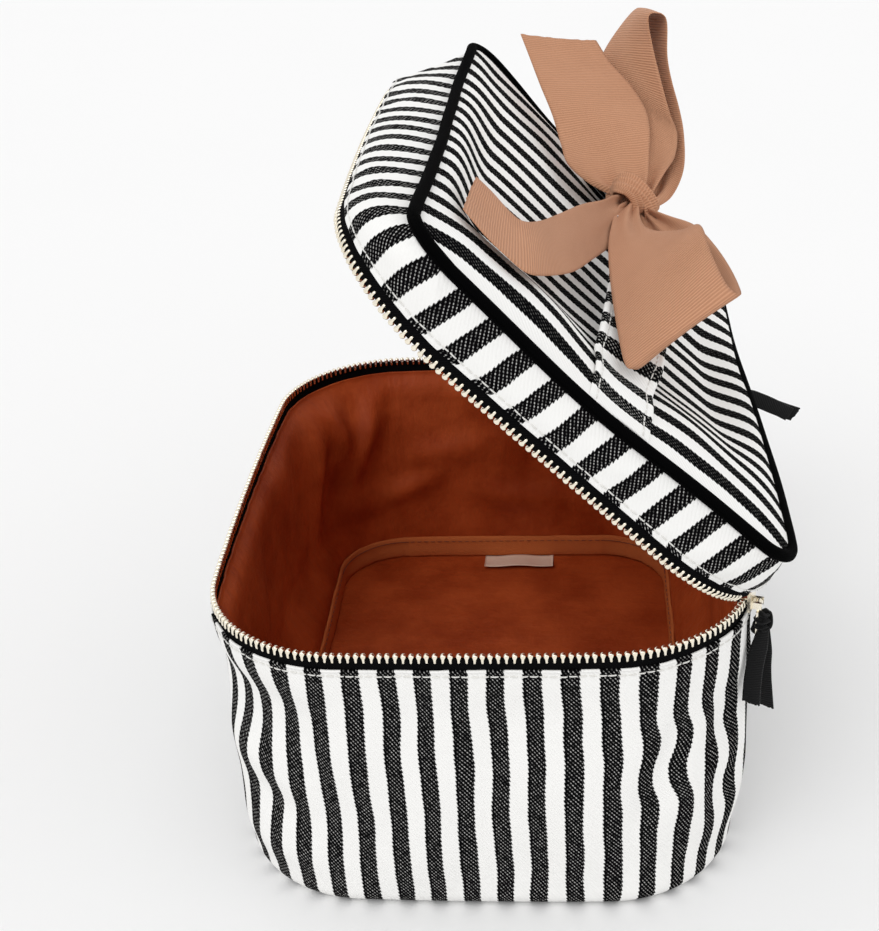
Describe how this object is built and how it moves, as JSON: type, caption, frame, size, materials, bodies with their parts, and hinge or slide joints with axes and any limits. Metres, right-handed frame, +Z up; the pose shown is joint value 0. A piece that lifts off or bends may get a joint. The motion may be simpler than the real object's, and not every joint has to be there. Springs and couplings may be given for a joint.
{
  "type": "soft vanity case",
  "caption": "Soft-sided zip-around vanity case with striped twill walls, a hinged piped lid, a carry strap with a ribbon bow, and a smooth lining.",
  "frame": {"origin": "on the floor, under the middle of the case's plan", "axes": "+Z up, X along the lid's hinge, +Y from the front towards the hinge at the back"},
  "size_m": [0.2568, 0.2451, 0.2839],
  "materials": {
    "twill": "black and white striped cotton twill",
    "lining": "smooth terracotta nylon",
    "binding": "terracotta twill tape",
    "foam": "soft foam interlining",
    "board": "stiff board",
    "zip_tape": "black woven tape",
    "zip_metal": "polished pale gold",
    "piping": "black covered cord",
    "bow_ribbon": "dusty rose grosgrain ribbon",
    "pull_ribbon": "black grosgrain ribbon",
    "label": "blank woven label"
  },
  "bodies": {
    "case": {"outer_wall": "twill", "outer_bottom": "twill", "wall_padding": "foam", "base_board": "board", "wall_lining": "lining", "base_lining": "lining", "base_binding": "binding", "care_label": "label", "body_zip_tape": "zip_tape", "body_zip_teeth": "zip_metal", "zip_end_stops": "zip_metal", "hinge_strip": "twill"},
    "lid": {"lid_band": "twill", "lid_top_panel": "twill", "lid_piping": "piping", "lid_band_padding": "foam", "lid_top_padding": "foam", "lid_band_lining": "lining", "lid_top_lining": "lining", "lid_binding": "binding", "lid_zip_tape": "zip_tape", "lid_zip_teeth": "zip_metal", "handle_strap": "twill", "bow_knot": "bow_ribbon", "bow_loop_near": "bow_ribbon", "bow_loop_far": "bow_ribbon", "bow_tail_near": "bow_ribbon", "bow_tail_far": "bow_ribbon"},
    "zip_slider_near": {"slider_near": "zip_metal"},
    "zip_pull_near": {"pull_tab_near": "zip_metal", "pull_ribbon_near": "pull_ribbon"},
    "zip_slider_far": {"slider_far": "zip_metal"},
    "zip_pull_far": {"pull_tab_far": "zip_metal", "pull_ribbon_far": "pull_ribbon"}
  },
  "joints": [
    {"name": "lid_hinge", "type": "hinge", "parent": "case", "child": "lid", "pos_m": [0, 0.097, 0.118], "axis": [-1, 0, 0], "range_deg": [-45, 55], "deforming": ["hinge_strip"]},
    {"name": "slider_near_travel", "type": "hinge", "parent": "case", "child": "zip_slider_near", "pos_m": [0.07334, 0.046, 0.118], "axis": [0, 0, -1], "range_deg": [0, 60]},
    {"name": "slider_far_travel", "type": "hinge", "parent": "case", "child": "zip_slider_far", "pos_m": [-0.07334, 0.046, 0.118], "axis": [0, 0, 1], "range_deg": [0, 60]},
    {"name": "pull_near_swing", "type": "hinge", "parent": "zip_slider_near", "child": "zip_pull_near", "pos_m": [0.09008, 0.10075, 0.114], "axis": [0.9563, -0.2924, 0], "range_deg": [0, 115]},
    {"name": "pull_far_swing", "type": "hinge", "parent": "zip_slider_far", "child": "zip_pull_far", "pos_m": [-0.09008, 0.10075, 0.114], "axis": [0.9563, 0.2924, 0], "range_deg": [-62, 53]}
  ]
}
